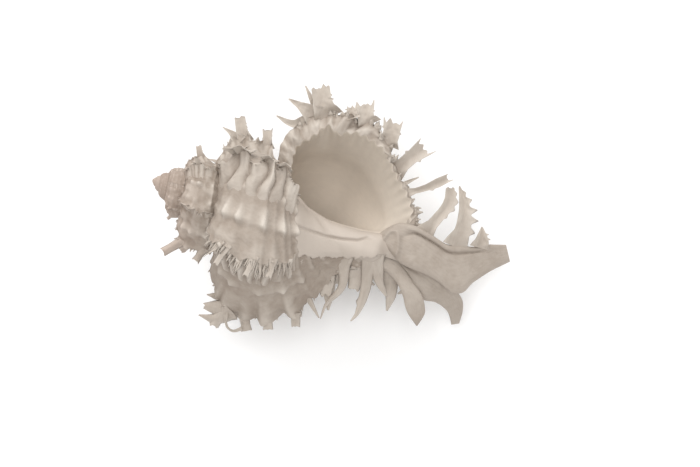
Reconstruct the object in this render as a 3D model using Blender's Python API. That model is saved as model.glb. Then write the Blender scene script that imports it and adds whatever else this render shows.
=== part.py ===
"""A white murex shell of the frilled, many-varix kind, grown as one piece, lying with its aperture up.

The shell is drawn once, at its lip, in a stage frame: h runs along the coiling axis from the apex, up runs
from the axis towards the outer lip, and out runs towards the open side of the aperture. Growth then turns,
shrinks and shifts that drawing back towards the apex: every whorl, varix, frond and canal end is the same
drawing at an earlier stage. Lengths are in millimetres until MM makes them metres.
"""

import math

import bmesh
import bpy
from mathutils import Matrix, Vector

MM = 0.001

# Growth: what one whorl multiplies
SUTURE_H = 35.4
AXIAL_GROWTH = 2.05
RADIAL_GROWTH = 1.70
WHORLS = 4.5

# How the coiling axis lies, and how the shell settles on the fronds of its back
AXIS_DIP_DEG = 18.0
REST_ROLL_DEG = 5.09
REST_PITCH_DEG = 6.34

# The whorl's outer wall at the lip, from the suture over the shoulder to the neck, as (h, r)
WALL = [
    (35.4, 14.7), (36.2, 18.8), (38.2, 22.4), (41.4, 25.4), (46.0, 28.0), (52.0, 29.6), (57.5, 29.4),
    (62.2, 27.6), (66.2, 24.9), (70.4, 20.8), (74.2, 16.2), (77.6, 12.0), (81.6, 8.6), (86.0, 6.4),
]
# How much of a varix's height each of those points takes
VARIX_SHARE = [0.0, 0.45, 0.85, 1.0, 1.0, 0.95, 0.95, 0.9, 0.85, 0.75, 0.6, 0.4, 0.25, 0.1]
# The next whorl covers the wall from this point on, and that far the varices of the older whorls fade
COVER = 8
COVERED_SHARE = [0.0, 0.35, 0.8, 1.0, 1.0, 0.95, 0.75, 0.3, 0.0]
WALL_CENTRE = (56.0, 4.0)
VARIX_HEIGHT = 6.4
# A varix rises over this many rows and drops in one: its height as a share, from the row before it backwards
VARIX_RISE = [1.0, 0.72, 0.3, 0.08]
ROW_DEG = 10.0
ROWS_PER_WHORL = round(360.0 / ROW_DEG)

# The aperture's edge at the lip, and the hollow behind it, as (h, r)
MOUTH = [
    (39.4, 13.7), (38.4, 22.6), (42.7, 27.8), (48.0, 30.2), (54.0, 31.9), (59.5, 31.0), (64.0, 28.9),
    (67.6, 25.0), (71.6, 21.0), (75.2, 17.4), (77.0, 12.8), (76.0, 8.6), (72.0, 6.2), (64.5, 4.9),
    (55.5, 4.6), (47.0, 6.6), (42.2, 9.8),
]
HOLLOW = [
    (39.2, 14.2), (38.6, 20.0), (41.6, 23.6), (46.6, 26.0), (52.4, 27.3), (57.4, 26.9), (61.6, 25.2),
    (65.2, 22.2), (68.8, 18.4), (71.8, 14.6), (73.6, 11.0), (73.0, 8.0), (69.0, 6.2), (62.5, 5.5),
    (54.5, 5.6), (47.6, 7.4), (42.6, 10.6),
]
HOLLOW_TURNS_DEG = 165.0
FLARE_DEG = 26.0

# The columella that shows in and below the aperture, as (h, radius)
COLUMELLA = [(38.0, 3.0), (47.0, 4.4), (56.0, 4.7), (66.0, 5.2), (75.0, 6.4), (82.0, 6.2), (88.0, 4.0)]
COLUMELLA_SIDES = 12

# The siphonal canal at the lip: (h, up, out, half width, half thickness)
CANAL = [
    (70.0, 4.6, -0.6, 2.2, 2.4), (77.0, 5.2, 1.0, 4.2, 2.4), (84.0, 3.8, 0.4, 4.5, 2.1),
    (90.5, 3.0, -2.0, 4.7, 1.8), (97.2, 2.9, -5.6, 5.8, 1.5), (102.6, 7.6, -10.0, 4.3, 1.4),
    (109.2, 12.3, -15.5, 2.6, 1.2),
]
# Its section, from the outer edge over the front, where the slit is, and back: (width, thickness) shares
CANAL_SECTION = [
    (1.0, 0.0), (0.88, 0.5), (0.76, 0.66), (0.68, 0.25), (0.58, 0.74), (0.0, 1.0), (-0.62, 0.74),
    (-1.0, 0.0), (-0.65, -0.75), (0.0, -1.0), (0.7, -0.75),
]

# Where along a frond its sections stand, as shares of its length, and how far its edges fold forward
FROND_STATIONS = (0.0, 0.42, 0.74, 1.0)
FROND_ROOT_DEPTH = 2.4
FROND_THICKNESS = 1.5
FROND_FOLD = 1.0


class Frond:
    """A frond at the lip: root and tip as (h, up, out), its widths there and between, its bow and its fork."""

    def __init__(self, root, tip, widths, bow=0.0, fork=0.0):
        self.root = Vector(root)
        self.tip = Vector(tip)
        self.widths = widths
        self.bow = bow
        self.fork = fork


LIP_FRONDS = {
    "posterior": Frond((38.8, 27.1, -1.6), (30.6, 30.1, -1.8), (7.0, 2.8, 0.7), -0.5),
    "side_horn": Frond((41.4, 30.5, -1.6), (31.5, 36.1, -2.6), (8.0, 3.2, 0.7), -1.6),
    "shoulder": Frond((43.6, 31.8, -1.6), (38.8, 41.2, -2.8), (8.6, 5.6, 5.6), 0.4, 1.4),
    "upper": Frond((53.6, 34.0, -1.6), (53.4, 40.8, -2.6), (8.4, 4.8, 5.0), 0.0, 1.4),
    "middle": Frond((63.0, 31.4, -1.6), (64.2, 38.6, -2.4), (8.0, 4.4, 4.6), 0.2, 1.4),
    "lower": Frond((70.0, 27.0, -1.6), (75.4, 34.8, -2.2), (6.4, 3.2, 4.2), 0.3, 1.4),
    "reed": Frond((75.0, 19.8, -1.6), (84.6, 28.2, -1.8), (3.6, 2.2, 2.6), 0.2, 0.8),
}
CANAL_FRONDS = {
    "base": Frond((83.0, 10.0, -1.4), (86.6, 25.3, -2.4), (5.6, 3.4, 2.4), -1.6),
    "neck": Frond((92.4, 9.4, -4.0), (88.6, 26.8, -5.0), (7.4, 4.4, 0.9), 1.4),
    "tip": Frond((99.2, 11.4, -8.4), (98.6, 17.4, -8.8), (5.2, 3.2, 0.8), 0.5),
}
TUBE_FROND = {"tube": Frond((41.0, 33.0, -1.0), (31.5, 44.0, -2.4), (9.0, 6.5, 6.0), 0.0, 0.8)}
FROND_SHAPES = {**LIP_FRONDS, **CANAL_FRONDS, **TUBE_FROND}


class Varix:
    """A growth stop: its angle back from the lip, its height, its fronds with their lengths, and its canal.

    Lengths are shares of what the same thing measures at the lip, and a canal of 0 has been grown over.
    The swing is how much further back the canal's end bends.
    """

    def __init__(self, angle, height, fronds, canal=0.0, swing=0.0):
        self.angle = angle
        self.height = height
        self.fronds = fronds
        self.canal = canal
        self.swing = swing


WHOLE = {name: 1.0 for name in {**LIP_FRONDS, **CANAL_FRONDS}}
VARICES = [
    Varix(0.0, 1.0, WHOLE, canal=1.0),
    Varix(-60.0, 1.0, {**WHOLE, "shoulder": 1.08, "upper": 1.0, "middle": 1.18}, canal=1.02, swing=6.0),
    Varix(-110.0, 1.0, {**WHOLE, "shoulder": 1.2, "upper": 1.05, "middle": 1.32}, canal=0.96),
    Varix(-170.0, 1.65, {"shoulder": 0.75, "upper": 0.7, "middle": 0.65, "lower": 0.7, "reed": 0.8}),
    Varix(-230.0, 1.25, {"side_horn": 0.8, "shoulder": 0.9, "upper": 1.0, "middle": 1.1, "lower": 1.0, "reed": 0.9}),
    Varix(-270.0, 0.45, {"side_horn": 0.3, "shoulder": 0.3, "upper": 0.25, "middle": 0.3, "lower": 0.25}),
    Varix(-310.0, 1.0, {"side_horn": 0.8, "shoulder": 0.9, "upper": 1.0, "middle": 0.8}),
    Varix(-360.0, 1.0, {"side_horn": 0.9, "shoulder": 1.0, "upper": 0.9}),
    Varix(-410.0, 1.0, {"side_horn": 0.9, "shoulder": 0.8, "upper": 0.9}),
    Varix(-460.0, 1.0, {"side_horn": 0.8, "shoulder": 0.9, "upper": 0.8}),
    Varix(-500.0, 1.0, {"side_horn": 0.9, "shoulder": 1.0, "upper": 0.8}),
    Varix(-550.0, 1.1, {"tube": 1.0, "upper": 1.0}),
    Varix(-610.0, 0.9, {"side_horn": 0.5, "shoulder": 0.5, "upper": 0.4}),
    Varix(-670.0, 0.9, {"side_horn": 0.4, "shoulder": 0.5, "upper": 0.4}),
    Varix(-720.0, 0.5, {"shoulder": 0.8}),
    Varix(-780.0, 0.6, {"shoulder": 0.5}),
    Varix(-830.0, 0.6, {"shoulder": 0.5}),
    Varix(-890.0, 0.6, {"shoulder": 0.4}),
    Varix(-940.0, 0.5, {"shoulder": 0.4}),
    Varix(-1000.0, 0.4, {}),
    Varix(-1060.0, 0.2, {}),
    Varix(-1120.0, 0.2, {}),
]

SHELL_COLOUR = (0.71, 0.66, 0.60, 1.0)
SHELL_ROUGHNESS = 0.6


def suture_h(angle):
    """Where the suture of this stage stands along the axis."""
    return SUTURE_H * AXIAL_GROWTH ** (angle / 360.0)


def grown(angle, h, up, out):
    """The point (h, up, out) of the lip's drawing, at the stage this many degrees back from the lip."""
    radial = RADIAL_GROWTH ** (angle / 360.0)
    along = suture_h(angle) + (h - SUTURE_H) * radial
    turn = math.radians(angle)
    across = (up * math.cos(turn) - out * math.sin(turn)) * radial
    towards = (up * math.sin(turn) + out * math.cos(turn)) * radial
    dip = math.radians(AXIS_DIP_DEG)
    return Vector((
        along * math.cos(dip) + across * math.sin(dip),
        across * math.cos(dip) - along * math.sin(dip),
        towards,
    ))


def new_object(name, bm):
    """A mesh object from a bmesh, in metres, its faces pointing out."""
    bmesh.ops.recalc_face_normals(bm, faces=bm.faces)
    bmesh.ops.scale(bm, vec=(MM, MM, MM), verts=bm.verts)
    mesh = bpy.data.meshes.new(name)
    bm.to_mesh(mesh)
    bm.free()
    obj = bpy.data.objects.new(name, mesh)
    bpy.context.scene.collection.objects.link(obj)
    return obj


def loft(bm, rings):
    """Closed rings of points, one after the other, joined by quads and capped at both ends."""
    made = [[bm.verts.new(p) for p in ring] for ring in rings]
    for low, high in zip(made, made[1:]):
        for i in range(len(low)):
            j = (i + 1) % len(low)
            bm.faces.new((low[i], low[j], high[j], high[i]))
    bm.faces.new(made[0])
    bm.faces.new(reversed(made[-1]))


def outward(h, r):
    """Which way a varix stands up at this point of the wall, as (h, r)."""
    return (Vector((h, r)) - Vector(WALL_CENTRE)).normalized()


def varix_height(angle):
    """How far the varices lift the wall at this angle, at the lip's scale."""
    lift = 0.0
    for varix in VARICES:
        rows_back = round((varix.angle - angle) / ROW_DEG)
        if 0 <= rows_back < len(VARIX_RISE):
            lift = max(lift, VARIX_HEIGHT * varix.height * VARIX_RISE[rows_back])
    return lift


def exposed_wall(angle):
    """The (h, r) points of the wall at this angle, down to where the next whorl covers it."""
    if angle > -360.0:
        return WALL
    step = suture_h(angle + 360.0) - suture_h(angle)
    covered_h = SUTURE_H + step / RADIAL_GROWTH ** (angle / 360.0)
    last = next(i for i in range(len(WALL)) if WALL[i + 1][0] >= covered_h - 0.01)
    share = (covered_h - WALL[last][0]) / (WALL[last + 1][0] - WALL[last][0])
    points = []
    for i in range(COVER + 1):
        place = (last + share) * i / COVER
        low = min(int(place), len(WALL) - 2)
        points.append(tuple(Vector(WALL[low]).lerp(Vector(WALL[low + 1]), place - low)))
    return points


def wall_points(angle):
    """The exposed wall at this angle, from suture to neck, with what the varices add to it."""
    lift = varix_height(angle)
    shares = VARIX_SHARE if angle > -360.0 else COVERED_SHARE
    points = []
    for (h, r), share in zip(exposed_wall(angle), shares):
        lifted = Vector((h, r)) + outward(h, r) * lift * share
        points.append(grown(angle, lifted.x, lifted.y, 0.0))
    return points


def whorls():
    """The coiled body, filled: a helical strip sewn to itself at the suture, closed at apex, base and lip."""
    bm = bmesh.new()
    last = round(WHORLS * ROWS_PER_WHORL)
    apex = bm.verts.new(grown(-360.0 * (WHORLS + 1.2), SUTURE_H, 0.0, 0.0))
    strip = []
    poles = []
    for row in range(last + 1):
        angle = (row - last) * ROW_DEG
        points = wall_points(angle)
        if row == last - ROWS_PER_WHORL:
            points += [grown(angle, h, r, 0.0) for h, r in WALL[COVER + 1:]]
        edge = strip[row - ROWS_PER_WHORL][COVER] if row >= ROWS_PER_WHORL else apex
        strip.append([edge] + [bm.verts.new(p) for p in points[1:]])
        if len(points) == len(WALL):
            poles.append(bm.verts.new(grown(angle, WALL[-1][0], 0.0, 0.0)))
    for low, high in zip(strip, strip[1:]):
        for j in range(min(len(low), len(high)) - 1):
            corners = [low[j], low[j + 1], high[j + 1], high[j]]
            bm.faces.new(list(dict.fromkeys(corners)))
    first_full = last - ROWS_PER_WHORL
    for row in range(first_full, last):
        pole = poles[row - first_full]
        next_pole = poles[row - first_full + 1]
        bm.faces.new((strip[row][-1], pole, next_pole, strip[row + 1][-1]))
    bm.faces.new([apex] + strip[0][1:])
    bm.faces.new(strip[last] + poles[::-1] + strip[first_full][:COVER:-1])
    return new_object("whorls", bm)


def hollow():
    """The space inside the last whorl, from in front of the lip back until it is out of sight."""
    bm = bmesh.new()
    rings = []
    steps = round(HOLLOW_TURNS_DEG / 15.0)
    for step in range(steps + 1):
        angle = 10.0 - 15.0 * step
        flare = max(0.0, 1.0 + angle / FLARE_DEG) ** 2 if angle < 0.0 else 1.0
        ring = []
        for (mouth_h, mouth_r), (h, r) in zip(MOUTH, HOLLOW):
            ring.append(grown(angle, h + (mouth_h - h) * flare, r + (mouth_r - r) * flare, 0.0))
        rings.append(ring)
    loft(bm, rings)
    return new_object("hollow", bm)


def columella():
    """The pillar round the coiling axis that the inner lip wraps."""
    bm = bmesh.new()
    rings = []
    for h, radius in COLUMELLA:
        ring = []
        for side in range(COLUMELLA_SIDES):
            turn = 2.0 * math.pi * (side + 0.5) / COLUMELLA_SIDES
            ring.append(grown(0.0, h, radius * math.cos(turn), radius * math.sin(turn)))
        rings.append(ring)
    loft(bm, rings)
    return new_object("columella", bm)


def on_canal(varix, point):
    """Where a point of the lip's canal goes on this varix's canal, by its length and its swing."""
    start = Vector(CANAL[0][:3])
    share = (point.x - start.x) / (CANAL[-1][0] - start.x)
    moved = start + (point - start) * varix.canal
    moved.z -= varix.swing * share ** 2
    return moved


def canal(varix):
    """The flattened, bent canal of one growth stop."""
    bm = bmesh.new()
    line = [on_canal(varix, Vector(station[:3])) for station in CANAL]
    rings = []
    for i, (h, up, out, half_width, half_thickness) in enumerate(CANAL):
        ahead = line[min(i + 1, len(line) - 1)] - line[max(i - 1, 0)]
        across = Vector((-ahead.y, ahead.x, 0.0)).normalized()
        front = ahead.cross(across).normalized()
        ring = []
        for width_share, thickness_share in CANAL_SECTION:
            point = line[i] + across * half_width * width_share + front * half_thickness * thickness_share
            ring.append(grown(varix.angle, *point))
        rings.append(ring)
    loft(bm, rings)
    return new_object("canal", bm)


def frond_ends(varix, name):
    """The root and tip of one frond, moved out with its varix or along with its canal."""
    shape = FROND_SHAPES[name]
    if name in CANAL_FRONDS:
        return on_canal(varix, shape.root), on_canal(varix, shape.tip)
    raised = outward(shape.root.x, shape.root.y) * VARIX_HEIGHT * (varix.height - 1.0)
    root = shape.root + raised.to_3d()
    return root, root + (shape.tip - shape.root) * varix.fronds[name]


def frond(varix, name):
    """A folded blade, open towards the aperture, that leaves the varix and may end in a fork."""
    bm = bmesh.new()
    shape = FROND_SHAPES[name]
    root, tip = frond_ends(varix, name)
    ahead = (tip - root).normalized()
    side = Vector((ahead.y, -ahead.x, 0.0)).normalized()
    front = Vector((0.0, 0.0, 1.0))
    start = root - ahead * FROND_ROOT_DEPTH
    rings = []
    for share in FROND_STATIONS:
        root_width, mid_width, tip_width = shape.widths
        if share < 0.5:
            width = root_width + (mid_width - root_width) * share / 0.5
        else:
            width = mid_width + (tip_width - mid_width) * (share - 0.5) / 0.5
        centre = start + (tip - start) * share + side * shape.bow * 4.0 * share * (1.0 - share)
        thin = FROND_THICKNESS * (1.0 - 0.45 * share)
        half = side * width / 2.0
        fold = front * min(FROND_FOLD, width * 0.25)
        ring = [centre + half + fold, centre - front * thin * 0.6, centre - half + fold, centre + front * thin * 0.3]
        rings.append([grown(varix.angle, *point) for point in ring])
    if shape.fork:
        end = tip + ahead * shape.fork
        horns = (end + side * shape.widths[2] * 0.62, end - side * shape.widths[2] * 0.62)
        forked_tip(bm, rings, [grown(varix.angle, *horn) for horn in horns])
    else:
        loft(bm, rings)
    return new_object("frond", bm)


def forked_tip(bm, rings, horns):
    """A loft whose last ring opens into two points."""
    made = [[bm.verts.new(p) for p in ring] for ring in rings]
    for low, high in zip(made, made[1:]):
        for i in range(4):
            j = (i + 1) % 4
            bm.faces.new((low[i], low[j], high[j], high[i]))
    bm.faces.new(made[0])
    left, back, right, face = made[-1]
    for corner, point in ((left, horns[0]), (right, horns[1])):
        horn = bm.verts.new(point)
        bm.faces.new((corner, back, horn))
        bm.faces.new((back, face, horn))
        bm.faces.new((face, corner, horn))


def combine(base, others, operation):
    """One Boolean step, applied, after which the others are gone."""
    for other in others:
        modifier = base.modifiers.new(operation.title(), "BOOLEAN")
        modifier.operation = operation
        modifier.object = other
        modifier.solver = "EXACT"
    graph = bpy.context.evaluated_depsgraph_get()
    mesh = bpy.data.meshes.new_from_object(base.evaluated_get(graph))
    base.modifiers.clear()
    base.data = mesh
    for other in others:
        bpy.data.objects.remove(other)
    return base


def clear_scene():
    for obj in list(bpy.data.objects):
        bpy.data.objects.remove(obj)


def fronds(names):
    """The fronds with these names, on every varix that has them."""
    return [frond(varix, name) for varix in VARICES for name in varix.fronds if name in names]


def settle(obj):
    """Turns the shell onto the fronds it rests on and stands the middle of its bounding box on the origin."""
    pitch = Matrix.Rotation(math.radians(REST_PITCH_DEG), 4, "Y")
    roll = Matrix.Rotation(math.radians(REST_ROLL_DEG), 4, "X")
    obj.data.transform(pitch @ roll)
    low = Vector([min(v.co[axis] for v in obj.data.vertices) for axis in range(3)])
    high = Vector([max(v.co[axis] for v in obj.data.vertices) for axis in range(3)])
    middle = (low + high) / 2.0
    obj.data.transform(Matrix.Translation((-middle.x, -middle.y, -low.z)))


def main():
    clear_scene()
    shell = combine(whorls(), fronds({**LIP_FRONDS, **TUBE_FROND}), "UNION")
    shell = combine(shell, [hollow()], "DIFFERENCE")
    canals = [canal(varix) for varix in VARICES if varix.canal > 0.0]
    shell = combine(shell, [columella()] + canals + fronds(CANAL_FRONDS), "UNION")
    shell.name = "murex_shell"
    shell.data.name = "murex_shell"
    settle(shell)
    shell.data.shade_smooth()
    material = bpy.data.materials.new("shell_white")
    material.use_nodes = True
    surface = material.node_tree.nodes["Principled BSDF"]
    surface.inputs["Base Color"].default_value = SHELL_COLOUR
    surface.inputs["Roughness"].default_value = SHELL_ROUGHNESS
    shell.data.materials.clear()
    shell.data.materials.append(material)


main()
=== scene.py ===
"""A white murex shell, frilled and with many varices, lying with its aperture up on a pale floor.

Every surface is worked out in a stage frame, as the shell was at one moment of its growth: h runs along the
coiling axis from the apex, up runs from the axis towards the outer lip, and out towards the open side of the
aperture. Growth by an angle turns, shrinks and shifts that drawing back towards the apex. Lengths are in
millimetres at the lip's own size, until settled() makes them metres and lays the shell down.
"""

import math
from typing import NamedTuple

import bpy
import numpy as np
from mathutils import Matrix, Vector


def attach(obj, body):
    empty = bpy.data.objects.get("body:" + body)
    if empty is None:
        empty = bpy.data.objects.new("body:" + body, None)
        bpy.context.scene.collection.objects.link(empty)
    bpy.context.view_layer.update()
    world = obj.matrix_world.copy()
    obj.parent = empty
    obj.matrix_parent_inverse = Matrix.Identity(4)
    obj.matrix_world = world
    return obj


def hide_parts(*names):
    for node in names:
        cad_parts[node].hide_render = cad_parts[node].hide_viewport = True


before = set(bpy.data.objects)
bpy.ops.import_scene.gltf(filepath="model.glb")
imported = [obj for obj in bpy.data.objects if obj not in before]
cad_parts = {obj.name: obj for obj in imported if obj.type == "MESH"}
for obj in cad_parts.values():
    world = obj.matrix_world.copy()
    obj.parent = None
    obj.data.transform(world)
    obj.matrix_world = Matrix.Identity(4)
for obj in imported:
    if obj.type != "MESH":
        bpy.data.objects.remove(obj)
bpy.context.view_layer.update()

bl_info = {
    "name": "Murex Shell",
    "version": (1, 0, 0),
    "blender": (4, 5, 0),
    "location": "View3D > Sidebar > Murex",
    "description": "Grows a frilled white murex shell from the drawing of its lip",
    "category": "Add Mesh",
}

MM = 0.001
# The growth coordinates that the finishes read: degrees to one unit, and units to the whole wall
ANGLE_A_PLACE = 36.0
PLACES_A_WALL = 10.0

# Growth, and how the shell lies
SUTURE_H = 35.4
AXIAL_GROWTH = 2.05
RADIAL_GROWTH = 1.70
AXIS_DIP_DEG = 18.0
REST_ROLL_DEG = 5.09
REST_PITCH_DEG = 6.34
REST_SHIFT_MM = (-53.328, 8.006, 40.488)

# The stage, in metres, and the middle of the view in the photograph's plane
FLOOR_REACH = 6.0
VIEW_WIDTH = 0.21
VIEW_MIDDLE_MM = (59.4, -16.05, 0.0)

# The whorl's outer wall at the lip, from suture to neck, as (h, r), with the share of a varix's height there
WALL = np.array([
    (35.4, 14.7), (36.2, 18.8), (38.2, 22.4), (41.4, 25.4), (46, 28), (52, 29.6), (57.5, 29.4), (62.2, 27.6),
    (66.2, 24.9), (70.4, 20.8), (74.2, 16.2), (77.6, 12), (81.6, 8.6), (86, 6.4), (90, 3),
])
VARIX_SHARE = [0, 0.45, 0.85, 1, 1, 0.95, 0.95, 0.9, 0.85, 0.75, 0.6, 0.4, 0.25, 0.1, 0]
COVERED_SHARE = [0, 0.35, 0.8, 1, 1, 0.95, 0.75, 0.3, 0]
WALL_CENTRE = (56.0, 4.0)
TWICE_WALL_LENGTH = 150.0
VARIX_HEIGHT = 6.4
RISE_DEG = (0, 4, 10, 20, 30, 42)
RISE = (1, 0.9, 0.70, 0.32, 0.09, 0)

# Spiral cords on the wall, as (h, height, width)
CORDS = [
    (38.6, 0.35, 0.9), (42.2, 0.55, 1.1), (47.2, 0.25, 0.9), (52.2, 0.35, 1.1), (58.6, 0.55, 0.9),
    (62.8, 0.4, 0.8), (66.2, 0.9, 0.8), (69.2, 0.5, 0.6), (71.8, 1.1, 0.8), (75.6, 1, 0.8), (79.6, 0.8, 0.8),
    (83.4, 0.4, 0.8),
]

# The aperture's edge at the lip, and the hollow behind it, as (h, r)
MOUTH = np.array([
    (39.4, 13.7), (38.4, 22.6), (41.4, 26.4), (43.6, 29.2), (45, 31.4), (46.6, 31), (48.4, 30), (51.2, 30.9),
    (54, 31.9), (59.5, 31), (64, 28.9), (67.6, 25), (71.6, 21), (75.2, 17.4), (77, 12.8), (76, 8.6), (72, 6.2),
    (64.5, 4.9), (55.5, 4.6), (47, 6.6), (42.2, 9.8),
])
HOLLOW = np.array([
    (39.2, 14.2), (38.6, 20), (40.8, 23), (42.8, 24.4), (44.4, 25.3), (46, 25.8), (47.6, 26.3), (50, 26.9),
    (52.4, 27.3), (57.4, 26.9), (61.6, 25.2), (65.2, 22.2), (68.8, 18.4), (71.8, 14.6), (73.6, 11), (73, 8),
    (69, 6.2), (62.5, 5.5), (54.5, 5.6), (47.6, 7.4), (42.6, 10.6),
])
FLARE_DEG = 26.0
HOLLOW_TURNS_DEG = 165.0
# How much of the mouth's outline the outer lip takes, and which shares of the wall border it
LIP_SHARE = 0.62
LIP_TO_WALL = ((0.0, 0.1, 0.25, 0.5, 0.75, 1.0), (0.0, 0.09, 0.22, 0.45, 0.63, 0.8))

COLUMELLA = np.array([
    (36, 2), (38, 3), (47, 4.4), (56, 4.7), (66, 5), (70, 4.6), (73.5, 3.4), (76.5, 1.2), (80, 0.6),
])

# The siphonal canal and the two older canal ends in the lip's drawing, from the root to the end: the upper
# edge's (h, up), the lower edge's (h, up), how far out the middle lies and the half thickness. The slit is
# how deep the furrow along the canal's front is.
CANALS = {
    "siphonal_canal": np.array([
        (69.6, 5.6, 69, 3.6, -0.6, 1.6), (72, 8.6, 71.6, 3, 0.4, 2), (74.7, 10.7, 74.6, 1.5, 1.4, 2.2),
        (78, 11.2, 78.8, -0.9, 1.6, 2.2), (80.5, 11.2, 82.4, -1.3, 1.2, 2.1), (85.2, 10.2, 86.9, -1.6, 0.2, 2),
        (90.3, 9, 91.5, -2.6, -1.6, 1.8), (95.5, 10.2, 96, -4.3, -3.8, 1.6), (98.5, 10.9, 99.2, -3.4, -6, 1.5),
        (101.9, 12.7, 101.4, 0.5, -8.6, 1.4), (104.7, 13.6, 105.5, 5.3, -11.8, 1.3),
        (107.6, 14.5, 110.3, 10, -15.5, 1.2),
    ]),
    "second_canal": np.array([
        (70.5, 1.6, 69.5, -1.6, -1.6, 1.8), (77.1, 1.4, 75.5, -1, -2.2, 1.9), (82.2, -0.2, 80.1, -3.6, -3, 1.9),
        (87.3, -0.2, 84.2, -7, -3.6, 1.9), (92, -1, 88.2, -9.2, -5, 1.8), (96.6, -3, 92.4, -8.8, -8, 1.6),
        (99.9, -5.4, 96.3, -10, -12, 1.4), (101.3, -8.7, 98.1, -11.7, -16, 1.2),
        (101.6, -12.7, 99.4, -13.8, -19.6, 1),
    ]),
    "third_canal": np.array([
        (69.5, -1, 66.5, -3.4, -1.6, 1.6), (76.8, 0, 71.6, -3.8, -1.8, 1.7), (80.1, -1.7, 76.4, -5, -2, 1.7),
        (84.3, -5.1, 79.9, -7.2, -2, 1.7), (87.7, -7.8, 82.5, -10.1, -2.4, 1.5),
        (89.7, -10.9, 83.9, -12.5, -3.2, 1.3), (90.3, -13.1, 85.5, -14.5, -4.2, 1.1),
        (89.4, -17, 89, -17.2, -5.2, 0.7),
    ]),
}
SLITS = {"siphonal_canal": 1.0, "second_canal": 0.3, "third_canal": 0.0}
# The small fold where the inner lip ends on the first canal, as (h, up)
TOOTH = np.array([(71.2, 4.2), (72.4, 7.2), (74, 8), (75.4, 6.8), (76.4, 3.6), (76.6, 1.4)])
# A canal's section, round from the upper edge over the front, where the slit is, and back: the place across,
# the thickness with a slit and the thickness without
SECTION = np.array([
    (1, 0, 0), (0.98, 0.5, 0.3), (0.9, 0.78, 0.5), (0.8, 0.8, 0.62), (0.72, 0.45, 0.68), (0.67, 0.12, 0.7),
    (0.62, 0.4, 0.72), (0.5, 0.62, 0.76), (0.3, 0.72, 0.82), (0, 0.78, 0.86), (-0.35, 0.8, 0.84),
    (-0.7, 0.72, 0.72), (-0.93, 0.4, 0.4), (-1, 0, 0), (-0.9, -0.45, -0.45), (-0.6, -0.78, -0.78),
    (0, -1, -1), (0.6, -0.8, -0.8), (0.92, -0.4, -0.4),
])
# The pillar's radius at the mouth, where the columella meets the hollow, as (h, r)
PILLAR_AT_MOUTH = np.array([
    (34.6, 16), (37, 15.5), (39.4, 13.7), (42.2, 9.8), (47, 6.6), (55.5, 4.6), (64.5, 4.9), (72, 6.2),
    (76, 8.6), (84, 9),
])


class Frond(NamedTuple):
    """A frond at the lip: its middle line as (h, up, out), widths along it, tines and edge teeth.

    Tines are (place across from -1 to 1, length) at the tip. Teeth are (share along, side, length) on the
    edges. The fold is how deep a channel the frond makes for its width, and the tilt how fast its root falls
    back along the axis.
    """
    line: list
    widths: tuple
    tines: list = ()
    teeth: list = ()
    fold: float = 0.34
    tilt: float = 0.0


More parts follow.
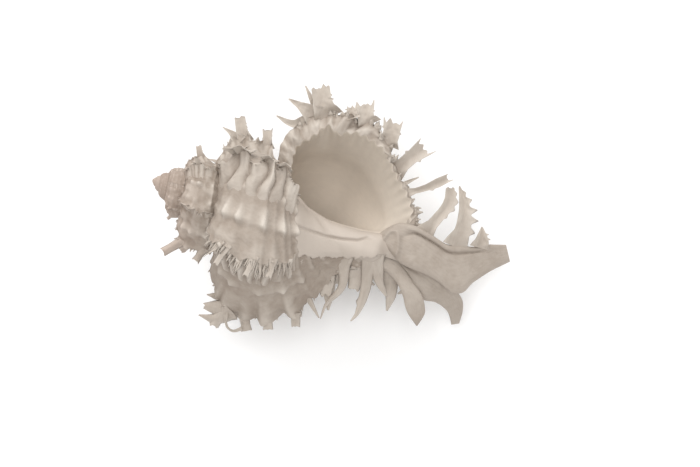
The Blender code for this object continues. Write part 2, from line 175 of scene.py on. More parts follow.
FRONDS = {name: Frond(*parts) for name, parts in {
    "posterior": ([(39, 28.2, -1.6), (34.5, 28.6, -1.6), (29.5, 29.9, -1.8)], (6, 2.4, 1.5, 0.4)),
    "side_horn": ([(42, 31.8, -1.6), (37.2, 34.2, -1.9), (31.4, 35.9, -2.6)], (9, 5, 2.2, 0.4)),
    "left_fork": ([(41.9, 34, -1.8), (38.1, 37.9, -2.2), (35, 41.2, -3)], (3.4, 2.2, 1.4, 0.4)),
    "shoulder": ([(45, 32.4, -1.6), (42.2, 36.5, -1.8), (39.7, 41.6, -2.8)], (9.4, 6.6, 5.6, 5.6),
        [(-0.8, 0.9), (-0.2, 0.5), (0.35, 1.7), (0.85, 1)], [(0.6, 1, 0.7), (0.75, 1, 0.5)]),
    "box": ([(49.8, 33, -1.2), (48.8, 34.2, -1.2), (48.1, 35.6, -1.4)], (3.4, 2.6, 2.4), [(-0.9, 0.5),
        (0.8, 0.6)]),
    "sub_upper": ([(52, 33.2, -2.2), (51.3, 36, -2.5), (50.4, 39.2, -2.8)], (4.8, 3.6, 3.2, 3),
        [(-0.9, 0.5), (0.1, 0.9), (0.9, 1.9)], [(0.6, -1, 0.7), (0.8, -1, 0.8)]),
    "upper": ([(56.4, 33.2, -1.4), (55.2, 36.8, -1.6), (54, 41, -2.6)], (8, 5.2, 4.8, 5.6), [(-0.9, 1.3),
        (-0.15, 0.5), (0.25, 0.7), (0.95, 2)], [(0.55, -1, 0.5), (0.7, 1, 0.5)]),
    "middle": ([(63.5, 31.6, -1.4), (63.9, 35, -1.6), (63.5, 38.4, -2.4)], (8, 5.2, 5, 6), [(-1, 2),
        (-0.3, 1.9), (0.3, 0.4), (1, 1.4)], [(0.6, 1, 0.5), (0.75, -1, 0.6)]),
    "lower": ([(69.8, 27, -1.4), (72.2, 31, -1.6), (74.4, 34, -2.2)], (6.6, 4.2, 4.2, 6), [(-1, 1.6),
        (-0.3, 1.2), (0.4, 0.8), (1, 3.2)], [(0.6, -1, 0.6), (0.7, 1, 0.6)]),
    "spine": ([(72.7, 22.7, -1.2), (74.2, 24.1, -1.2), (75.9, 25.6, -1.4)], (1.6, 1, 0.3)),
    "reed": ([(74, 20, -1.2), (79.4, 23.6, -1.4), (84.2, 27.9, -1.8)], (3.4, 1.7, 2, 2.8, 2.4),
        [(-0.9, 0.7), (0.9, 1.5)], [(0.6, 1, 0.4)], 0.5),
    "tooth_a": ([(75.2, 17.6, -0.8), (75.8, 18, -0.8), (76.8, 19, -1)], (2.6, 1.4, 0.3)),
    "tooth_b": ([(76.6, 14.9, -0.8), (77.1, 15.3, -0.8), (77.8, 16.6, -1)], (2.6, 1.4, 0.3)),
    "tooth_c": ([(77.8, 12.4, -0.8), (78.2, 12.8, -0.8), (79, 14.1, -1)], (2.8, 1.4, 0.3)),
    "base": ([(82.7, 10.2, -0.6), (85.1, 15.7, -1.6), (87, 21, -2), (85.9, 25.3, -2.4)],
        (6.4, 3.4, 3.2, 3.8, 2.6), [(-0.5, 0.4), (0.6, 0.3)], [(0.5, 1, 0.5), (0.66, 1, 0.8), (0.78, 1, 0.8),
        (0.9, 1, 0.6)], 0.3, 0.4),
    "neck": ([(92.8, 9.6, -3.4), (93.3, 15.2, -4.2), (91.9, 21, -4.6), (88.4, 26.8, -5)],
        (8, 5, 4.2, 2.8, 0.5), [], [(0.3, 1, 1.6), (0.46, 1, 2.2), (0.6, 1, 2.2), (0.75, 1, 1.4),
        (0.88, 1, 0.7)], 0.26, 0.6),
    "tip": ([(100, 11.6, -7.8), (99.9, 13.5, -8.4), (98.8, 17.3, -8.8)], (6.4, 4.4, 2.6, 0.4), [],
        [(0.45, 1, 0.8), (0.65, 1, 0.8)], 0.26, 0.75),
    "tube": ([(41, 33, -1), (35, 40, -1.4), (31.5, 44, -2.4)], (9, 6.5, 6, 6.2), [(-0.8, 0.7), (0.1, 0.2),
        (0.8, 0.8)], (), 0.5),
    # Fronds of the lowest varix, drawn where they stand there
    "left_horn": ([(47, 38.5, -1.6), (42.6, 43.6, -1.8), (36, 44.4, -2.2)], (8, 6.4, 3.4, 0.5)),
    "left_lobe": ([(46, 35, -1.6), (41.5, 38.6, -1.8), (37.2, 40.4, -2.2)], (9, 7, 5, 2.4), [(-0.8, 0.9),
        (0.2, 0.4), (0.9, 0.8)], [(0.6, 1, 0.5)]),
    "left_spur": ([(42.5, 31.5, -1.6), (39.5, 34.4, -1.8), (36.6, 35.8, -2)], (4.4, 2.4, 0.3)),
    "arc": ([(43.6, 44.3, -1.8), (47.3, 46.6, -2.4), (50.5, 46.2, -2.4), (53.6, 44.2, -2)],
        (2.8, 1.1, 0.8, 1.6), (), (), 0.1),
    "stub_a": ([(45.6, 40, -1.6), (43.4, 44, -1.8), (42.8, 46.6, -2.2)], (6, 4.6, 4), [(-0.6, 0.8),
        (0.7, 0.5)]),
    "stub_b": ([(53.4, 38.4, -1.6), (54.2, 41.6, -1.8), (55.4, 44.6, -2.4)], (6.4, 4, 3.8, 4.4),
        [(-0.9, 0.3), (0.9, 0.4)]),
    "stub_c": ([(61.4, 35.4, -1.6), (62.4, 38.6, -1.8), (63.2, 41.4, -2.4)], (6, 3.8, 3.6, 4),
        [(-0.9, 0.4), (0.8, 0.3)]),
    "stub_d": ([(70.2, 30.4, -1.6), (71.8, 33.8, -1.8), (73, 36.8, -2.4)], (5.6, 3.6, 3.6, 3.4),
        [(-0.8, 0.3), (0.9, 0.5)]),
}.items()}
DRAWN = ("left_horn", "left_lobe", "left_spur", "arc", "stub_a", "stub_b", "stub_c", "stub_d")
# The fronds on the canals, with their places along an older canal
CANAL_FRONDS = {"base": 0.34, "neck": 0.55, "tip": 0.76}
LIP_ONLY = ("left_fork", "box", "sub_upper", "spine", "tooth_a", "tooth_b", "tooth_c")
WHOLE = dict.fromkeys((name for name in FRONDS if name != "tube" and name not in DRAWN), 1.0)
OLDER = dict.fromkeys((name for name in WHOLE if name not in LIP_ONLY), 1.0)

# Blades below the inner lip, where the front varix runs out along the neck, in the lip's drawing
NECK_BLADES = [
    Frond([(53, -16.5, -1.5), (56.8, -20.5, -2.4), (60.5, -24, -3.2)], (4.6, 2.4, 1.4, 0.4), fold=-0.25),
    Frond([(62.4, -5.5, 0.6), (64, -13, -1.6), (61.2, -19.6, -3), (60.9, -24.1, -3.6)],
        (5.6, 3.4, 2.2, 1.2, 0.3), fold=-0.25),
    Frond([(59.5, -13, -4), (61.2, -17, -5), (62.3, -21, -6)], (6, 3.6, 0.6), fold=-0.2),
    Frond([(69.4, -3, 0.8), (71, -11.5, -1.4), (70.9, -19, -3.4), (69.8, -21.9, -4)], (5.4, 3.6, 2.6, 0.5), [],
        [(0.7, 1, 0.6)], fold=-0.25),
    Frond([(71.6, -3, 0.4), (74.4, -8, -1), (77.6, -11.4, -2.4)], (6.4, 4.4, 2.6, 0.8), fold=-0.25),
    Frond([(76.8, -5, -3.4), (78.8, -10.5, -5), (79.2, -15.6, -6)], (5, 4.6, 3.2, 0.6), fold=-0.2),
    Frond([(66, -5, -0.4), (67.4, -9, -2), (67.6, -12.4, -3)], (7, 5.6, 3.6), [(-0.7, 0.8), (0.6, 0.5)],
        fold=-0.15),
    Frond([(57.5, -8.5, 0), (59.2, -13, -1.8), (60.2, -16.6, -2.6)], (7, 6, 3.4), [(-0.5, 0.6), (0.6, 1)],
        fold=-0.15),
]


class Varix(NamedTuple):
    """A growth stop: its angle, its height and its fronds with their lengths.

    The neck is the share of its height where it runs out along the neck, the slim how far it narrows on the
    way there, the foot how many degrees its front takes to reach the wall, the flute how deep its edge folds,
    and frills are (count, length) of the small scales on its edge. Its fronds are so many times as wide as at
    the lip, and lean forward by so many degrees. Pleats on its front are (distance, depth, sharpness). The
    varix ends at a share of the wall, the shy is how much lower it stands near the suture, the rib how high
    the ribs on its back are, and the wear how light its wall is, which on the varix at -170 degrees is painted
    shade that darkens its wall. Its last fronds stand on its canal.
    """
    angle: float
    height: float
    fronds: dict
    neck: float = 0.0
    slim: float = 0.0
    foot: float = 7.0
    flute: float = 1.0
    frills: tuple = (12, 1.6)
    wide: float = 1.0
    lean: float = 0.0
    pleats: tuple = (0.06, 0.9, 0.8)
    ends: float = 2.0
    shy: float = 0.0
    rib: float = 1.4
    wear: float = 0.02
    canal: str = ""


def three(side_horn, shoulder, upper, **more):
    """The lengths of an older varix's fronds."""
    return {"side_horn": side_horn, "shoulder": shoulder, "upper": upper, **more}


VARICES = [
    Varix(0, 1, WHOLE, slim=0.5, frills=(26, 1.4)),
    Varix(-60, 1, {**OLDER, "shoulder": 0.91, "upper": 0.64, "middle": 0.86, "neck": 0.7, "base": 0.8},
        frills=(24, 1.8), canal="second_canal"),
    Varix(-110, 1, {**OLDER, "shoulder": 1.03, "upper": 0.74, "middle": 0.89, "neck": 0.5, "base": 0.7,
        "tip": 0.6}, frills=(24, 1.8), canal="third_canal"),
    # This varix's wall is darker: painted shade on its belly.
    Varix(-170, 1.58, dict.fromkeys(DRAWN, 1.0), neck=0.45, flute=0.8, frills=(16, 1.4), shy=0.3, rib=3.4,
        wear=-0.1),
    Varix(-237, 1.05, three(0.5, 0.45, 0.55, middle=0.55), foot=38, flute=1,
        frills=(56, 5.2), wide=0.7, lean=58, pleats=(0.048, 3.8, 0.9), ends=0.69),
    Varix(-312, 1, three(0.72, 0.66, 0.66, middle=0.66), foot=30, flute=2,
        frills=(24, 2.8), wide=1.35, lean=35, pleats=(0.105, 4.6, 0.4), ends=0.74),
    Varix(-360, 1, three(0.9, 1, 0.9), foot=12, flute=1.6, frills=(20, 2.2)),
    Varix(-410, 1, three(0.9, 0.8, 0.9)),
    Varix(-460, 1, three(0.8, 0.9, 0.8), frills=(14, 2)),
    Varix(-500, 1, three(0.9, 1, 0.8), frills=(14, 2)),
    Varix(-550, 1.1, {"tube": 1, "upper": 1}, frills=(16, 2.4)),
    Varix(-610, 0.9, three(0.5, 0.5, 0.4), foot=12, frills=(12, 2.4)),
    Varix(-670, 0.9, three(0.4, 0.5, 0.4), foot=12),
    Varix(-720, 0.7, {"shoulder": 0.8}, foot=14),
    Varix(-780, 0.7, {"shoulder": 0.5}, foot=14),
    Varix(-830, 0.7, {"shoulder": 0.5}, foot=14),
    Varix(-890, 0.6, {"shoulder": 0.4}, foot=14, frills=(0, 1)),
    Varix(-940, 0.5, {"shoulder": 0.4}, foot=14, frills=(0, 1)),
    Varix(-1000, 0.4, {}, foot=14, frills=(0, 1)),
    Varix(-1060, 0.2, {}, foot=14, frills=(0, 1)),
    Varix(-1120, 0.2, {}, foot=14, frills=(0, 1)),
]
# Soft rows of knobs between the growth stops, as (angle, height, width in degrees, share between the knobs)
KNOB_ROWS = [(-291, 0.9, 5, 0.3), (-264, 2.6, 6, 0.2), (-198, 1.3, 3, 0.25)]
KNOB_CORDS_H = (42.2, 47.6, 57.8, 66.0, 71.8)
KNOBS_END = 0.72
FIRST_ANGLE = -1620.0
APEX_ANGLE = -3000.0


# Growth as whole arrays


def suture_h(angle):
    """Where the suture stands along the axis: its place at the lip times the axial growth, once a turn."""
    return SUTURE_H * AXIAL_GROWTH ** (angle / 360)


def grown(angle, h, up, out=0.0):
    """The drawing's point (h, up, out) at the stage this many degrees back, in the photograph's frame.

    Distances from the suture and the axis shrink by the radial growth to the power of the turns, the suture
    moves along the axis, and the whole drawing turns about the axis by the angle.
    """
    angle, h, up, out = np.broadcast_arrays(angle, h, up, out)
    radial = RADIAL_GROWTH ** (angle / 360)
    along = suture_h(angle) + (h - SUTURE_H) * radial
    turn = np.radians(angle)
    across = (up * np.cos(turn) - out * np.sin(turn)) * radial
    towards = (up * np.sin(turn) + out * np.cos(turn)) * radial
    dip = math.radians(AXIS_DIP_DEG)
    x = along * math.cos(dip) + across * math.sin(dip)
    y = across * math.cos(dip) - along * math.sin(dip)
    return np.stack([x, y, towards], axis=-1)


def rest_turn():
    """The rotation that lays the photograph's frame down onto the fronds of the back."""
    pitch = Matrix.Rotation(math.radians(REST_PITCH_DEG), 3, "Y")
    roll = Matrix.Rotation(math.radians(REST_ROLL_DEG), 3, "X")
    return np.array(pitch @ roll)


def settled(points):
    """Points of the photograph's frame, in millimetres, laid down where the shell lies, in metres."""
    return (points @ rest_turn().T + np.array(REST_SHIFT_MM)) * MM


def curve_through(knots, shares, closed=False):
    """A smooth curve through the knots at these shares of its length.

    Between two knots it is a cubic whose slope at each knot is the slope from the knot before to the next.
    """
    knots = np.asarray(knots, float)
    if closed:
        knots = np.concatenate([knots[-2:], knots, knots[:3]])
    steps = np.linalg.norm(np.diff(knots[:, :2], axis=0), axis=1)
    place = np.concatenate([[0], np.cumsum(steps)])
    slope = np.empty_like(knots)
    slope[1:-1] = (knots[2:] - knots[:-2]) / (place[2:] - place[:-2])[:, None]
    slope[0] = (knots[1] - knots[0]) / steps[0]
    slope[-1] = (knots[-1] - knots[-2]) / steps[-1]
    first, last = (place[2], place[-3]) if closed else (0, place[-1])
    at = first + np.asarray(shares) * (last - first)
    i = np.clip(np.searchsorted(place, at, side="right") - 1, 0, len(place) - 2)
    span = (place[i + 1] - place[i])[..., None]
    t = (at - place[i])[..., None] / span
    return (
        knots[i] * (2 * t**3 - 3 * t**2 + 1) + knots[i + 1] * (3 * t**2 - 2 * t**3)
        + slope[i] * span * (t**3 - 2 * t**2 + t) + slope[i + 1] * span * (t**3 - t**2)
    )


def hashed(i, j, k):
    """A number from 0 to 1 that looks random, fixed for each whole place (i, j, k)."""
    value = np.sin(i * 127.1 + j * 311.7 + k * 74.7) * 43758.5453
    return value - np.floor(value)


def rumple(x, y, z=0.0):
    """Soft noise from -1 to 1: eased between the fixed numbers of the eight whole places round a point."""
    x, y, z = np.broadcast_arrays(x, y, z)
    xi, yi, zi = np.floor(x), np.floor(y), np.floor(z)
    fx, fy, fz = (t * t * (3 - 2 * t) for t in (x - xi, y - yi, z - zi))
    total = 0
    for a, b, c in np.ndindex(2, 2, 2):
        weight = (fx if a else 1 - fx) * (fy if b else 1 - fy) * (fz if c else 1 - fz)
        total = total + weight * hashed(xi + a, yi + b, zi + c)
    return total * 2 - 1


def even(count):
    """So many even shares from 0 to 1."""
    return np.linspace(0, 1, count)


def eased(value):
    """A smooth step from 0 at 0 to 1 at 1."""
    value = np.clip(value, 0, 1)
    return value * value * (3 - 2 * value)


def bell(value):
    """A bell of height 1 at 0: the exponential of minus the square."""
    return np.exp(-(value**2))


# The wall as smooth curves of a share s, from the suture (0) to the neck's end (1)

FINE = even(801)
WALL_FINE = curve_through(np.column_stack([WALL, VARIX_SHARE]), FINE)
WALL_FINE[:, 2] = np.clip(WALL_FINE[:, 2], 0.0, 1.0)


def wall(s):
    """The wall's h and r at the share s."""
    return np.interp(s, FINE, WALL_FINE[:, 0]), np.interp(s, FINE, WALL_FINE[:, 1])


def share_at(h):
    """The share s at which the wall has this h."""
    return np.interp(h, WALL_FINE[:, 0], FINE)


WALL_BEARING = np.unwrap(np.arctan2(WALL_FINE[:, 1] - WALL_CENTRE[1], WALL_CENTRE[0] - WALL_FINE[:, 0]))


def share_towards(h, r):
    """The share s at which the wall lies in the same direction from its centre as this point."""
    return np.interp(math.atan2(r - WALL_CENTRE[1], WALL_CENTRE[0] - h), WALL_BEARING, FINE)


def outward(h, r):
    """The way (h, r), of length 1, in which a varix stands up from the wall: away from the wall's centre."""
    away_h, away_r = h - WALL_CENTRE[0], r - WALL_CENTRE[1]
    size = np.hypot(away_h, away_r)
    return away_h / size, away_r / size


def varix_share(s, angle, varix):
    """The share of a varix's height at s, fading where a later whorl covers the wall."""
    full = np.interp(s, FINE, WALL_FINE[:, 2])
    full = full * (1 - varix.slim * eased((s - 0.42) / 0.14) * eased((0.86 - s) / 0.1))
    full = np.maximum(full, varix.neck * eased((s - 0.55) / 0.14) * eased((1 - s) / 0.05))
    full = full * eased((varix.ends - s) / 0.14) * (1 - varix.shy * (1 - eased((s - 0.18) / 0.12)))
    covered = np.interp(s / covered_to(angle), even(9), COVERED_SHARE)
    return np.where(angle > -360, full, covered)


def covered_to(angle):
    """The share s at which the next whorl's suture lies on the wall, or 1 for the last whorl."""
    angle = np.asarray(angle, float)
    step = suture_h(angle + 360) - suture_h(angle)
    hidden = share_at(SUTURE_H + step / RADIAL_GROWTH ** (angle / 360))
    return np.where(angle > -360, 1, hidden)


def cords(s, angle):
    """Spiral cords: soft round ridges at fixed h, which swell and fade along the growth."""
    h, _ = wall(s)
    height = 0
    for number, (at, tall, wide) in enumerate(CORDS):
        swell = 1 + 0.35 * rumple(angle / 7, number * 3.1)
        wander = 0.25 * rumple(angle / 14, number * 5.7 + 9)
        height = height + tall * swell * bell((h - at - wander) / wide)
    return height


def lamellae(s, angle):
    """Growth lines: low scalloped steps that follow the lip, steep on their younger side."""
    bend = 1.6 * np.cos(s * 60) + 2 * rumple(s * 9, angle / 40)
    phase = (angle + bend) / 3.1 + 0.35 * rumple(angle / 9, s * 14)
    tooth = phase - np.floor(phase)
    strength = 0.5 + 0.5 * rumple(angle / 11, s * 18, 4)
    return 0.22 * strength * tooth**2


# Pieces


def placed(name, data):
    """A new object in the scene."""
    made = bpy.data.objects.new(name, data)
    bpy.context.scene.collection.objects.link(made)
    return made


class Cast:
    """Patches of surface gathered into one piece, each point with its place on the shell and its tone, which
    carries rubbed pale edges and painted light and shade.
    """

    def __init__(self):
        self.points, self.faces, self.places, self.tones = [], [], [], []
        self.count = 0

    def add(self, points, faces, angle, share, tones):
        """A patch whose points lie at these angles and shares of the wall."""
        size = points.shape[:-1]
        along, across, tones = (
            np.broadcast_to(value, size).ravel()
            for value in (angle / ANGLE_A_PLACE, share * PLACES_A_WALL, tones)
        )
        self.points.append(points.reshape(-1, 3))
        self.faces.append(faces + self.count)
        self.places.append(np.column_stack([along, across]))
        self.tones.append(tones)
        self.count += points.size // 3

    def grid(self, points, angle, share, tones, **turned):
        """A patch of rows and columns of points."""
        self.add(points, quads(*points.shape[:2], **turned), angle, share, tones)

    def made(self, name, finish_name="chalky_outside"):
        """The piece, laid down with the shell. A face that names a corner twice is a triangle."""
        faces = [list(dict.fromkeys(corners)) for corners in np.concatenate(self.faces).tolist()]
        mesh = bpy.data.meshes.new(name)
        mesh.from_pydata(settled(np.concatenate(self.points)).tolist(), [], faces)
        mesh.update()
        used = np.empty(len(mesh.loops), np.int32)
        mesh.loops.foreach_get("vertex_index", used)
        layer = mesh.uv_layers.new(name="growth")
        layer.data.foreach_set("uv", np.concatenate(self.places)[used].astype(np.float32).ravel())
        # The tone per point holds rubbed pale edges and painted light and shade, which the finish reads.
        wear = mesh.attributes.new("wear", "FLOAT", "POINT")
        wear.data.foreach_set("value", np.concatenate(self.tones).astype(np.float32))
        mesh.shade_smooth()
        mesh.materials.append(finish(finish_name))
        piece = placed(name, mesh)
        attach(piece, "root")
        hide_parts("murex_shell")


def quads(rows, cols, closed=False, flip=False):
    """The corner numbers of a grid's faces, each turned from row to column; closed joins the last column."""
    r, c = np.meshgrid(np.arange(rows - 1), np.arange(cols if closed else cols - 1), indexing="ij")
    across = (c + 1) % cols
    corners = [r * cols + c, (r + 1) * cols + c, (r + 1) * cols + across, r * cols + across]
    if flip:
        corners.reverse()
    return np.stack(corners, axis=-1).reshape(-1, 4)


# The whorls


def roots(varix):
    """Each frond's place on the flange and half its width there, both as shares of the wall."""
    for name in varix.fronds:
        if name not in CANAL_FRONDS:
            yield share_towards(*FRONDS[name].line[0][:2]), FRONDS[name].widths[0] / TWICE_WALL_LENGTH


def flutes(s, varix):
    """How far a flange's edge folds: back at the middle of each wide frond, forward at its two sides."""
    fold = 0.35 * np.cos(s * 95 + varix.angle) + 0.25 * rumple(s * 40, varix.angle)
    for at, half in roots(varix):
        if half * TWICE_WALL_LENGTH > 4.9:
            sides = bell((abs(s - at) - 1.2 * half) / (0.4 * half))
            fold = fold - 1.5 * bell((s - at) / (0.6 * half)) + 0.9 * sides
    return fold * varix.flute


def ribs(s, varix):
    """Round ribs that run up the flange's back to each of its fronds, from 0 between them to 1 on top."""
    total = 0 * s
    for at, half in roots(varix):
        total = np.maximum(total, bell((s - at) / (0.8 * half)))
    return total


def wall_points(varix, angle, share):
    """The outer wall between two stops: pushed outward by the varix's rise and ribs, knobs, cords and lamellae.

    Gives h, r, how far the edge folds out, and a tone for the finish. The tone is lighter on raised relief,
    which is partly rubbed pale and partly painted light on the knob rows, and darker in a band beside each knob
    row, which is painted shadow. Under the callus the fine relief is low.
    """
    h, r = wall(share)
    away_h, away_r = outward(h, r)
    back = varix.angle - angle
    rise = np.interp(back, RISE_DEG, RISE)
    tall = VARIX_HEIGHT * varix.height * varix_share(share, angle, varix)
    edge = np.exp(-back / 5)
    sharp = min(1, varix.height) ** 3
    ragged = sharp * edge * (0.3 + 0.7 * rumple(share * 60, varix.angle)) * eased(share / 0.08)
    spire = eased((-345 - angle) / 30) * np.interp(angle, (-1200, -560), (0.1, 1))
    fine = cords(share, angle) + lamellae(share, angle) + 0.45 * rumple(angle / 6, share * 12, 2)
    bumps = 1.2 * rumple(angle / 8, share * 14, 7) + 2.4 * knobs(share) * studs(angle, share)
    fine = fine + bumps * spire
    dip = 0
    for at, row_tall, row_wide, between in KNOB_ROWS:
        ahead = (angle - at) / row_wide
        row = bell(ahead * np.where(ahead > 0, 1.5, 0.7)) * eased((KNOBS_END - share) / 0.08)
        fine = fine + row_tall * row * (between + knobs(share))
        # Painted shadow: the dip darkens a band on the younger side of each knob row, where the row's shade
        # falls.
        dip = dip + 0.35 * bell(ahead - 1.6)
    hidden = eased((share - 0.68) / 0.04) * eased((angle + 310) / 20) * eased((-222 - angle) / 12)
    fine = fine * eased(share / 0.04) * (1 - 0.75 * hidden)
    crown = rise * np.minimum(1, tall / 4) * varix.rib * (ribs(share, varix) - 0.4)
    lift = tall * rise + ragged + fine + crown
    fold = sharp * (flutes(share, varix) * np.minimum(1, tall / 3) - 1.2) * edge
    # The tone is lighter on raised relief, partly rubbed pale and partly painted light, less the painted shadow
    # of the dip.
    wear = np.clip(varix.wear + 0.35 * (fine + crown) - dip, 0, 1)
    return h + away_h * lift, r + away_r * lift, fold, wear


def studs(angle, share):
    """Where along the growth the spire's knobs stand: about one every 24 degrees, of chance heights."""
    wander = 30 * rumple(angle / 40, share * 8, 3)
    stud = np.maximum(0, np.cos(np.radians(angle * 15 + wander))) ** 2
    return stud * (0.6 + 0.8 * rumple(angle / 24, share * 6))


def knobs(share):
    """Low round knobs where a low varix crosses the cords."""
    h, _ = wall(share)
    return sum(bell((h - at) / 1.7) for at in KNOB_CORDS_H)


def whorl_sheet(cast, varix, older, cols):
    """The outer wall between two growth stops, then the younger one's flange and its front face.

    Rows are growth angles from the older stop to the younger, closer towards the flange's edge. Columns are
    shares of the wall's profile.
    """
    span = varix.angle - older
    small = RADIAL_GROWTH ** (varix.angle / 360)
    rows = max(18, int(span * 1.2 * small**0.5))
    cols = int(cols * max(0.35, small**0.6))
    t = even(rows)
    angles = older + span * (1 - (1 - t) ** 1.35)
    angle, share = np.meshgrid(angles, even(cols), indexing="ij")
    share = share * np.minimum(1, covered_to(angle) + 0.01)
    h, r, fold, wear = wall_points(varix, angle, share)
    cast.grid(grown(angle, h, r, fold), angle, share, wear)
    if varix.angle < 0:
        front_face(cast, varix, share[-1], h[-1], r[-1], fold[-1])


def pleats(share, v, varix):
    """Pleats down a flange's front: rounded ridges of chance heights with sharp valleys, from 0 to 1."""
    distance, _, sharpness = varix.pleats
    phase = share / distance + 0.55 * rumple(share * 13, varix.angle)
    phase = phase + 0.3 * rumple(v * 2.5, share * 7, varix.angle)
    ridge = np.abs(np.cos(math.pi * phase)) ** sharpness
    return ridge * (0.3 + 0.7 * hashed(np.floor(phase + 0.5), varix.angle, 1))


def front_face(cast, varix, share, crest_h, crest_r, crest_fold):
    """The flange's front, from its edge down to the wall over the foot's degrees, with pleats."""
    long_foot = varix.foot >= 20
    v = even(48 if long_foot else 16)[:, None]
    h, r = wall(share[None, :])
    away_h, away_r = outward(h, r)
    upright = (1 - v) ** 1.2
    pleat = pleats(share[None, :], v, varix)
    fade = eased(v / 0.12) * eased((1 - v) / 0.25) * varix_share(share, varix.angle, varix)
    swell = varix.pleats[1] * fade * (pleat - 0.4) - 0.4 * v**2
    angle = varix.angle + varix.foot * v ** (1.3 if long_foot else 2)
    front_h = h + (crest_h - h) * upright + away_h * swell
    front_r = r + (crest_r - r) * upright + away_r * swell
    # Painted shade: the tone is lighter on the pleats' ridges and darker in their valleys and towards the foot.
    wear = np.clip(1.25 * pleat * (1 - 0.35 * v) - 0.05, 0, 1)
    cast.grid(grown(angle, front_h, front_r, crest_fold * (1 - v**1.6)), angle, share, wear)


def first_whorls(cast):
    """The smallest whorls up to the apex, plain, as one sheet."""
    angle = np.linspace(APEX_ANGLE, FIRST_ANGLE + 8, 240)[:, None]
    share = even(30) * (covered_to(angle) + 0.03)
    cast.grid(grown(angle, *wall(share)), angle, share, 0.5)


def grow_whorls(name, first, last, cols):
    """All sheets whose younger growth stop lies between two angles, as one piece."""
    cast = Cast()
    if first < VARICES[-1].angle:
        first_whorls(cast)
    ends = [varix.angle for varix in VARICES[1:]] + [FIRST_ANGLE]
    for varix, older in zip(VARICES, ends):
        if first < varix.angle <= last:
            whorl_sheet(cast, varix, older, cols)
    cast.made(name)


# Fronds


def crest_point(varix, s):
    """A point of a flange's edge as (h, up, out), and the direction away from the wall there."""
    s = np.array([s])
    h, r, fold, _ = wall_points(varix, np.array([varix.angle]), s)
    away_h, away_r = outward(*wall(s))
    return np.array([h[0], r[0], fold[0]]), np.array([away_h[0], away_r[0], 0])


def canal_root(varix, share):
    """The middle of an older canal at this share of its length, in the varix's own drawing: grown() undone."""
    shape = CANALS[varix.canal]
    edges = [curve_through(shape[:, edge], np.array([share]))[0] for edge in ([0, 1], [2, 3])]
    h, up = sum(edges) / 2
    out = float(np.interp(share, even(len(shape)), shape[:, 4]))
    radial = RADIAL_GROWTH ** (varix.angle / 360)
    turn = math.radians(varix.angle)
    return np.array([
        SUTURE_H + (h - suture_h(varix.angle)) / radial,
        (up * math.cos(turn) + out * math.sin(turn)) / radial,
        (out * math.cos(turn) - up * math.sin(turn)) / radial,
    ])


def frond_line(varix, name):
    """A frond's middle line on one varix: scaled by its length, with its root sunk into the flange's edge.

    At the lip and for fronds drawn in their place, only the root moves. Elsewhere the whole frond moves with
    its root, and leans forward.
    """
    line = np.array(FRONDS[name].line)
    line = line[0] + (line - line[0]) * varix.fronds[name]
    if name in CANAL_FRONDS and varix.canal:
        line = line - line[0] + canal_root(varix, CANAL_FRONDS[name])
    elif name not in CANAL_FRONDS:
        crest, away = crest_point(varix, share_towards(*line[0, :2]))
        shift = crest - away - line[0]
        drawn = varix.angle == 0 or name in DRAWN
        carried = np.array([1, 0.3, 0, 0, 0])[: len(line)] if drawn else np.ones(len(line))
        line = line + shift * carried[:, None]
    away_far = np.linalg.norm(line[:, :2] - line[0, :2], axis=1)
    line[:, 2] += away_far * math.tan(math.radians(varix.lean))
    return line


def spikes(places, peaks, reach):
    """Pointed bumps along a line: at each peak's place its length, falling to nothing over the reach."""
    total = np.zeros_like(places)
    for at, length in peaks:
        total = np.maximum(total, length * np.clip(1 - np.abs(places - at) / reach, 0, 1))
    return total


